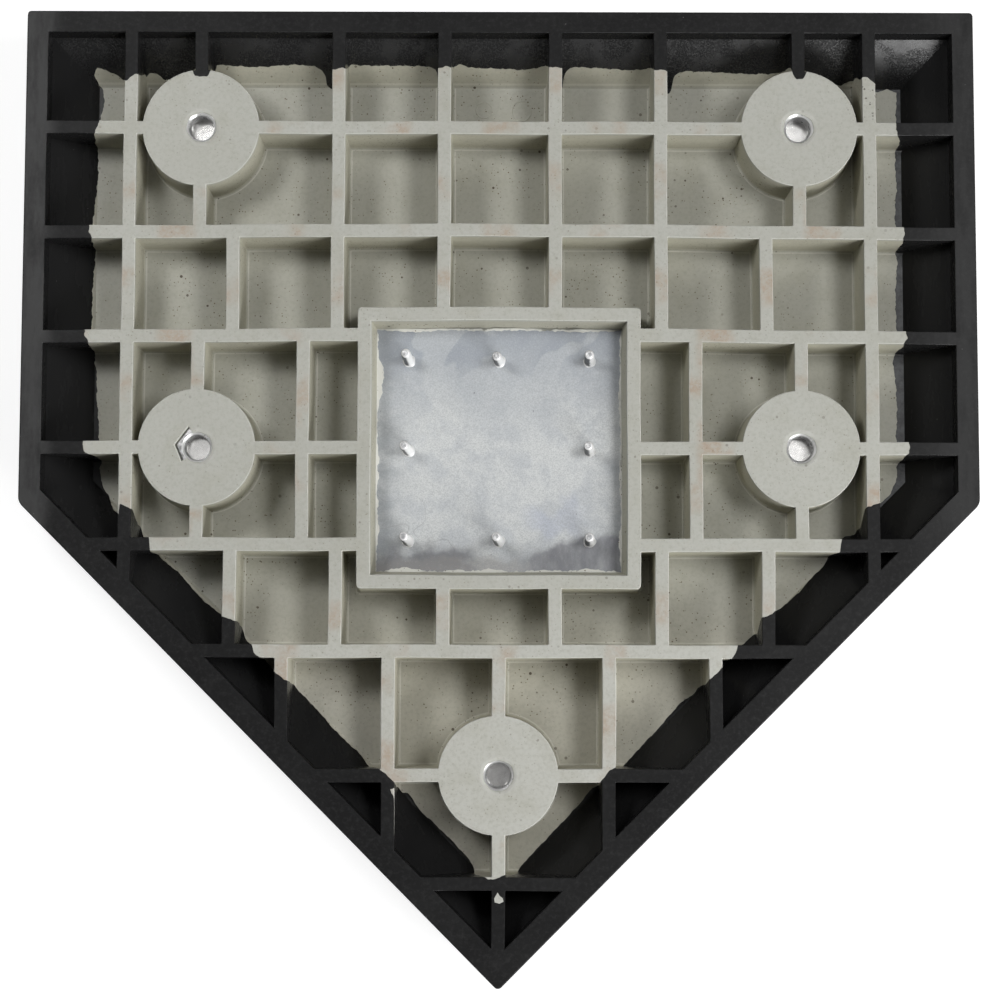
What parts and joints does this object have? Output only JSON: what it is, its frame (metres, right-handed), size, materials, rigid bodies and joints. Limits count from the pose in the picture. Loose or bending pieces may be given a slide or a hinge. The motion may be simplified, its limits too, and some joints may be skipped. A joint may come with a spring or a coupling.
{
  "type": "home plate",
  "caption": "Five-sided rubber base with a black bevelled edge, a ribbed white underside, threaded spike inserts in round bosses and a studded steel plate in a square frame.",
  "frame": {"origin": "middle of the overall box, on the playing face, which lies on the ground plane", "axes": "+Z out of the ribbed underside, +Y to the straight front edge, -Y to the point. The part is stored as pictured, lying on its playing face; half a turn about X or Y puts it in its place of use"},
  "size_m": [0.4826, 0.492, 0.0381],
  "materials": {
    "white_rubber": "matte",
    "black_rubber": "satin",
    "galvanised_steel": "satin",
    "bright_steel": "polished",
    "insert_steel": "polished"
  },
  "bodies": {
    "root": {"white_rubber_body": "white_rubber", "black_rubber_edge": "black_rubber", "steel_plate": "galvanised_steel", "stud_front_left": "bright_steel", "stud_front_centre": "bright_steel", "stud_front_right": "bright_steel", "stud_middle_left": "bright_steel", "stud_middle_right": "bright_steel", "stud_rear_left": "bright_steel", "stud_rear_centre": "bright_steel", "stud_rear_right": "bright_steel", "insert_nut_front_left": "insert_steel", "insert_nut_front_right": "insert_steel", "insert_nut_middle_left": "insert_steel", "insert_nut_middle_right": "insert_steel", "insert_nut_rear": "insert_steel", "insert_disc_front_left": "insert_steel", "insert_disc_front_right": "insert_steel", "insert_disc_middle_left": "insert_steel", "insert_disc_middle_right": "insert_steel", "insert_disc_rear": "insert_steel"}
  },
  "joints": []
}
